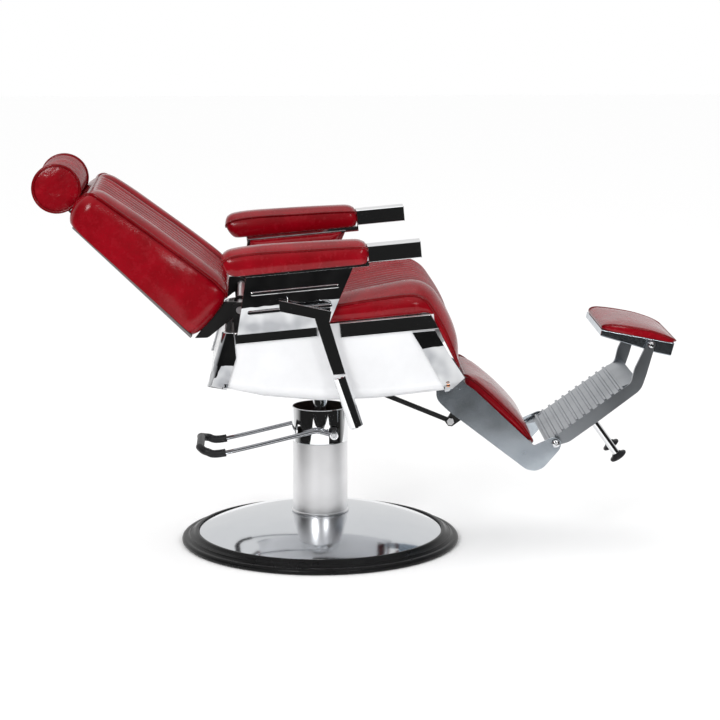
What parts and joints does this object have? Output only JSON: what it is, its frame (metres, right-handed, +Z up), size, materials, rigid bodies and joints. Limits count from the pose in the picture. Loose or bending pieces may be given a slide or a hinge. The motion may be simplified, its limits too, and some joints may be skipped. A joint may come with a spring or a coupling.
{
  "type": "hydraulic barber chair",
  "caption": "Reclining barber chair on a round pedestal with a foot pump, padded arms, sliding headrest, and a leg rest with a fold-over foot rest.",
  "frame": {"origin": "on the floor at the column axis, the centre of the round base", "axes": "+Z up, +X towards the feet, +Y towards the sitter's left hand; shown laid back with the leg rest raised"},
  "size_m": [1.4808, 0.715, 0.9133],
  "materials": {
    "chrome": "mirror polished chrome plate",
    "satin_steel": "satin turned steel",
    "cast_aluminium": "polished and brushed casting",
    "black_steel": "satin black paint",
    "cast_iron": "painted casting",
    "black_rubber": "smooth black rubber",
    "white_paint": "gloss white paint",
    "red_leather": "glossy waxed red leather"
  },
  "bodies": {
    "base": {"base_disc": "chrome", "base_rubber_ring": "black_rubber", "ballast_plate": "cast_iron", "pump_body": "cast_iron", "column_cover": "satin_steel", "column_cap": "chrome"},
    "lift": {"piston_rod": "chrome"},
    "pedal": {"pedal_lever": "chrome", "pedal_grip": "black_rubber", "pedal_shaft": "satin_steel", "pedal_bolt_left": "chrome", "pedal_bolt_right": "chrome", "pump_rocker": "black_steel"},
    "plunger": {"pump_plunger": "satin_steel"},
    "seat": {"tub_shell": "white_paint", "rear_trim_left": "chrome", "rear_trim_right": "chrome", "front_trim_left": "chrome", "front_trim_right": "chrome", "rear_strip_left": "chrome", "rear_strip_right": "chrome", "front_strip_left": "chrome", "front_strip_right": "chrome", "seat_mount": "cast_iron", "seat_frame": "black_steel", "seat_cushion": "red_leather", "arm_panel_left": "chrome", "arm_panel_right": "chrome", "arm_liner_left": "red_leather", "arm_liner_right": "red_leather", "arm_rail_left": "chrome", "arm_rail_right": "chrome", "arm_pad_left": "red_leather", "arm_pad_right": "red_leather", "leg_shaft": "satin_steel"},
    "recline_lever": {"recline_lever": "chrome", "lever_handle": "satin_steel"},
    "back": {"back_cushion": "red_leather", "back_board": "white_paint", "back_bracket_left": "black_steel", "back_bracket_right": "black_steel", "recline_shaft": "satin_steel", "recline_crank": "black_steel"},
    "headrest": {"headrest_bolster": "red_leather", "headrest_strap": "chrome"},
    "legrest": {"leg_frame": "cast_aluminium", "leg_link_bracket": "black_steel", "link_screw": "satin_steel", "calf_cushion": "red_leather"},
    "link": {"link_bar": "black_steel"},
    "footrest": {"foot_frame": "cast_aluminium", "foot_hinge_rod": "satin_steel", "foot_post_left": "chrome", "foot_post_right": "chrome", "foot_knob_left": "black_rubber", "foot_knob_right": "black_rubber"},
    "flip_pad": {"flip_frame": "cast_aluminium", "flip_hinge_rod": "satin_steel", "flip_cushion": "red_leather"}
  },
  "joints": [
    {"name": "piston_lift", "type": "slide", "parent": "base", "child": "lift", "axis": [0, 0, 1], "range_m": [0, 0.15]},
    {"name": "seat_swivel", "type": "hinge", "parent": "lift", "child": "seat", "pos_m": [0, 0, 0.38], "axis": [0, 0, 1], "continuous": true},
    {"name": "pump_pedal", "type": "hinge", "parent": "base", "child": "pedal", "pos_m": [0.031, 0, 0.2699], "axis": [0, -1, 0], "range_deg": [0, 14], "stiffness_Nm_per_rad": 25, "springref_deg": -8.59},
    {"name": "pump_stroke", "type": "slide", "parent": "base", "child": "plunger", "axis": [0, 0, -1], "range_m": [0, 0.0166]},
    {"name": "back_recline", "type": "hinge", "parent": "seat", "child": "back", "pos_m": [-0.186, 0, 0.59], "axis": [0, 1, 0], "range_deg": [0, 40]},
    {"name": "headrest_slide", "type": "slide", "parent": "back", "child": "headrest", "axis": [-0.7204, 0, 0.6936], "range_m": [0, 0.08]},
    {"name": "legrest_swing", "type": "hinge", "parent": "seat", "child": "legrest", "pos_m": [0.284, 0, 0.424], "axis": [0, 1, 0], "range_deg": [0, 35]},
    {"name": "link_pivot", "type": "hinge", "parent": "legrest", "child": "link", "pos_m": [0.30308, 0, 0.30321], "axis": [0, 1, 0], "range_deg": [-38, 0]},
    {"name": "footrest_fold", "type": "hinge", "parent": "legrest", "child": "footrest", "pos_m": [0.54395, 0, 0.26301], "axis": [0, -1, 0], "range_deg": [0, 25]},
    {"name": "flip_pad_turn", "type": "hinge", "parent": "footrest", "child": "flip_pad", "pos_m": [0.76416, 0, 0.49139], "axis": [0, 1, 0], "range_deg": [0, 150]},
    {"name": "recline_lever_pull", "type": "hinge", "parent": "seat", "child": "recline_lever", "pos_m": [-0.08141, 0, 0.61631], "axis": [0, -1, 0], "range_deg": [0, 16], "stiffness_Nm_per_rad": 20, "springref_deg": -11.46}
  ],
  "couplings": [
    {"joint": "pump_stroke", "follows": "pump_pedal", "m_per_rad": 0.0675},
    {"joint": "legrest_swing", "follows": "back_recline", "ratio": 0.875},
    {"joint": "link_pivot", "follows": "back_recline", "ratio": -0.9275}
  ]
}
